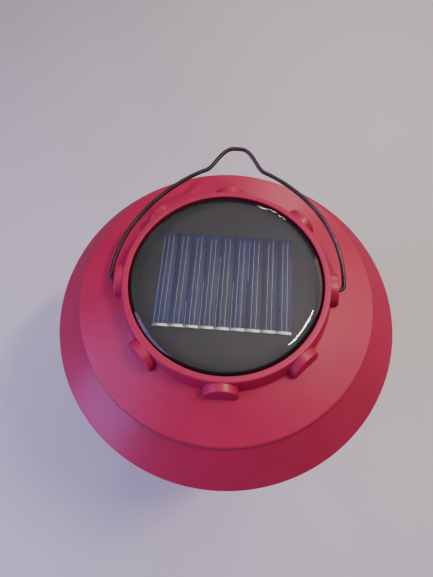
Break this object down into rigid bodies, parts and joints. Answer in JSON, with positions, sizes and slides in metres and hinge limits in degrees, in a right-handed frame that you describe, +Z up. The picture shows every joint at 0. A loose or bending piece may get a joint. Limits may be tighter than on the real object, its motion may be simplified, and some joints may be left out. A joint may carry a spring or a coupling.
{
  "type": "solar lantern",
  "caption": "Solar lantern with a two-tier moulded hood, a round resin-sealed solar panel, a wire bail, an opal globe and a stepped base.",
  "frame": {"origin": "on the surface it stands on, under the middle of the hood", "axes": "+Z up along the lantern's vertical axis, -Y towards the front, +X along the bail's pivot line"},
  "size_m": [0.196, 0.196, 0.2318],
  "materials": {
    "crimson_plastic": "satin moulded plastic",
    "silicon": "dark blue-grey silicon",
    "tinned_tab": "tinned copper tab",
    "clear_resin": "clear domed resin",
    "panel_black": "black lacquered board",
    "foam_tape": "foam tape",
    "dark_wire": "dark oiled steel wire",
    "white_plastic": "white reflector plastic",
    "screw_steel": "zinc plated steel",
    "black_rubber": "soft black rubber",
    "seal_rubber": "grey silicone rubber",
    "opal_plastic": "opal diffusing plastic",
    "clear_plastic": "clear plastic",
    "led_phosphor": "yellow phosphor",
    "white_board": "white lacquered board",
    "green_board": "green lacquered board",
    "black_plastic": "matt black plastic",
    "ferrite": "dark ferrite",
    "battery_sleeve": null,
    "contact_metal": "nickel plated spring steel",
    "lead_sleeve": "red lead sleeve"
  },
  "bodies": {
    "lantern": {"base_floor": "crimson_plastic", "base_foot_1": "black_rubber", "base_foot_2": "black_rubber", "base_foot_3": "black_rubber", "base_screw_1": "screw_steel", "base_screw_2": "screw_steel", "base_screw_3": "screw_steel", "base_shell": "crimson_plastic", "battery_cell": "battery_sleeve", "battery_contact_negative": "contact_metal", "battery_contact_positive": "contact_metal", "battery_cradle": "black_plastic", "battery_lead": "lead_sleeve", "cell_tab_1": "tinned_tab", "cell_tab_2": "tinned_tab", "cell_tab_3": "tinned_tab", "cell_tab_4": "tinned_tab", "cell_tab_5": "tinned_tab", "cell_tab_6": "tinned_tab", "cell_tab_7": "tinned_tab", "cell_tab_8": "tinned_tab", "cell_tab_9": "tinned_tab", "charge_chip": "black_plastic", "control_board": "green_board", "cover_screw_1": "screw_steel", "cover_screw_2": "screw_steel", "cover_screw_3": "screw_steel", "globe": "opal_plastic", "globe_seal_bottom": "seal_rubber", "globe_seal_top": "seal_rubber", "hood_shell": "crimson_plastic", "inductor": "ferrite", "led_1": "led_phosphor", "led_2": "led_phosphor", "led_3": "led_phosphor", "led_4": "led_phosphor", "led_5": "led_phosphor", "led_6": "led_phosphor", "led_board": "white_board", "led_lead": "lead_sleeve", "light_window": "clear_plastic", "panel_adhesive": "foam_tape", "panel_board": "panel_black", "panel_lead": "lead_sleeve", "panel_resin": "clear_resin", "push_switch": "black_plastic", "solar_strip_1": "silicon", "solar_strip_2": "silicon", "solar_strip_3": "silicon", "solar_strip_4": "silicon", "solar_strip_5": "silicon", "solar_strip_6": "silicon", "solar_strip_7": "silicon", "solar_strip_8": "silicon", "solar_strip_9": "silicon", "switch_lead": "lead_sleeve", "underside_cover": "white_plastic"},
    "bail": {"bail": "dark_wire"},
    "button": {"power_button": "black_rubber"}
  },
  "joints": [
    {"name": "bail_swing", "type": "hinge", "parent": "lantern", "child": "bail", "pos_m": [0, 0, 0.2112], "axis": [1, 0, 0], "range_deg": [-16.5, 166.5]},
    {"name": "button_press", "type": "slide", "parent": "lantern", "child": "button", "axis": [0, 0, 1], "range_m": [0, 0.0015], "stiffness_N_per_m": 600, "springref_m": -0.001}
  ]
}
